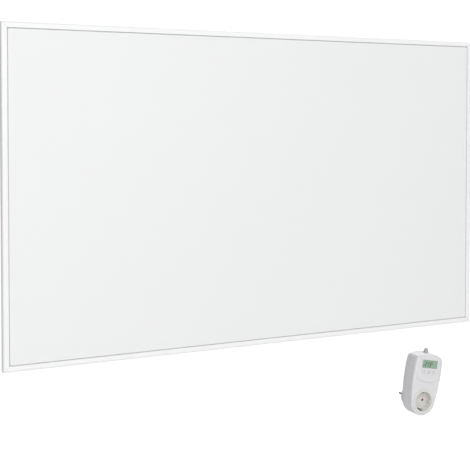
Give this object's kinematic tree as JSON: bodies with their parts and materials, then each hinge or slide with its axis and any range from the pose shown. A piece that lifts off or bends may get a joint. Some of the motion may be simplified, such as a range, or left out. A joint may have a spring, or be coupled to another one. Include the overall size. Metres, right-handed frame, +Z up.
{
  "type": "infrared panel heater",
  "caption": "Flat framed infrared heating panel that hangs on a wall, with a plug-in thermostat that has a display, push buttons and a switched outlet.",
  "frame": {"origin": "on the wall's surface, at the middle of the four wall brackets, behind the panel's middle", "axes": "+X to the right seen from the room, +Y from the room into the wall, +Z up"},
  "size_m": [1, 0.0774, 0.7859],
  "materials": {
    "face_coat": "fine matt white powder coat",
    "frame_coat": "satin white powder coat",
    "seal": "grey silicone seal",
    "carbon_film": "printed carbon film",
    "copper": "copper foil",
    "lead_jacket": "silicone insulated flat lead",
    "cutout_case": "nickel-plated steel",
    "foil": "bright foil",
    "wool": "pressed mineral wool",
    "galvanised": "galvanised sheet with a fine spangle",
    "box_plastic": "moulded dark plastic",
    "ceramic": "off-white heat-proof block",
    "screw_zinc": "bright zinc plating",
    "housing": "white moulded plastic, fine grain",
    "socket_face": "smooth white moulded plastic",
    "shutter_red": "red-brown moulded plastic",
    "nickel": "nickel plating",
    "lens": "clear acrylic",
    "display": "green liquid crystal display",
    "button": "soft white moulded plastic",
    "switch_black": "black moulded plastic",
    "board": "green solder mask",
    "relay_case": "blue moulded case",
    "boot": "grey elastomer"
  },
  "bodies": {
    "panel": {"front_plate": "face_coat", "edge_seal": "seal", "heating_film": "carbon_film", "busbar_top": "copper", "busbar_bottom": "copper", "lead_live": "lead_jacket", "lead_neutral": "lead_jacket", "thermal_cutout_1": "cutout_case", "thermal_cutout_2": "cutout_case", "reflector_foil": "foil", "insulation_board": "wool", "back_plate": "galvanised", "frame_bottom": "frame_coat", "frame_left": "frame_coat", "frame_top": "frame_coat", "frame_right": "frame_coat", "corner_key_bottom_left": "galvanised", "corner_key_top_left": "galvanised", "corner_key_top_right": "galvanised", "corner_key_bottom_right": "galvanised", "wall_bracket_upper_left": "galvanised", "wall_bracket_upper_right": "galvanised", "wall_bracket_lower_left": "galvanised", "wall_bracket_lower_right": "galvanised", "terminal_box": "box_plastic", "terminal_box_lid": "box_plastic", "lid_screw_1": "screw_zinc", "lid_screw_2": "screw_zinc", "terminal_block": "ceramic", "earth_screw": "screw_zinc", "gland_body": "box_plastic", "gland_nut": "box_plastic"},
    "thermostat": {"housing_front": "housing", "housing_rear": "housing", "housing_screw_1": "screw_zinc", "housing_screw_2": "screw_zinc", "housing_screw_3": "screw_zinc", "housing_screw_4": "screw_zinc", "cable_boot": "boot", "socket_cup": "socket_face", "contact_sleeve_live": "nickel", "contact_sleeve_neutral": "nickel", "plug_pin_live": "nickel", "plug_pin_neutral": "nickel", "earth_strap_top": "nickel", "earth_strap_bottom": "nickel", "display_lens": "lens", "display_module": "display", "tact_switch_plus": "switch_black", "tact_switch_power": "switch_black", "tact_switch_minus": "switch_black", "control_board": "board", "power_board": "board", "relay": "relay_case", "supply_block": "switch_black"},
    "button_plus": {"button_plus": "button"},
    "button_power": {"button_power": "button"},
    "button_minus": {"button_minus": "button"},
    "shutter": {"socket_shutter": "shutter_red"}
  },
  "joints": [
    {"name": "thermostat_unplug", "type": "slide", "parent": "panel", "child": "thermostat", "axis": [0, -1, 0], "range_m": [0, 0.045]},
    {"name": "button_plus_press", "type": "slide", "parent": "thermostat", "child": "button_plus", "axis": [0, 1, 0], "range_m": [0, 0.0006], "stiffness_N_per_m": 2000},
    {"name": "button_power_press", "type": "slide", "parent": "thermostat", "child": "button_power", "axis": [0, 1, 0], "range_m": [0, 0.0006], "stiffness_N_per_m": 2000},
    {"name": "button_minus_press", "type": "slide", "parent": "thermostat", "child": "button_minus", "axis": [0, 1, 0], "range_m": [0, 0.0006], "stiffness_N_per_m": 2000},
    {"name": "shutter_turn", "type": "hinge", "parent": "thermostat", "child": "shutter", "pos_m": [0.375, -0.0267, -0.456], "axis": [0, 1, 0], "range_deg": [0, 40], "stiffness_Nm_per_rad": 0.005}
  ]
}
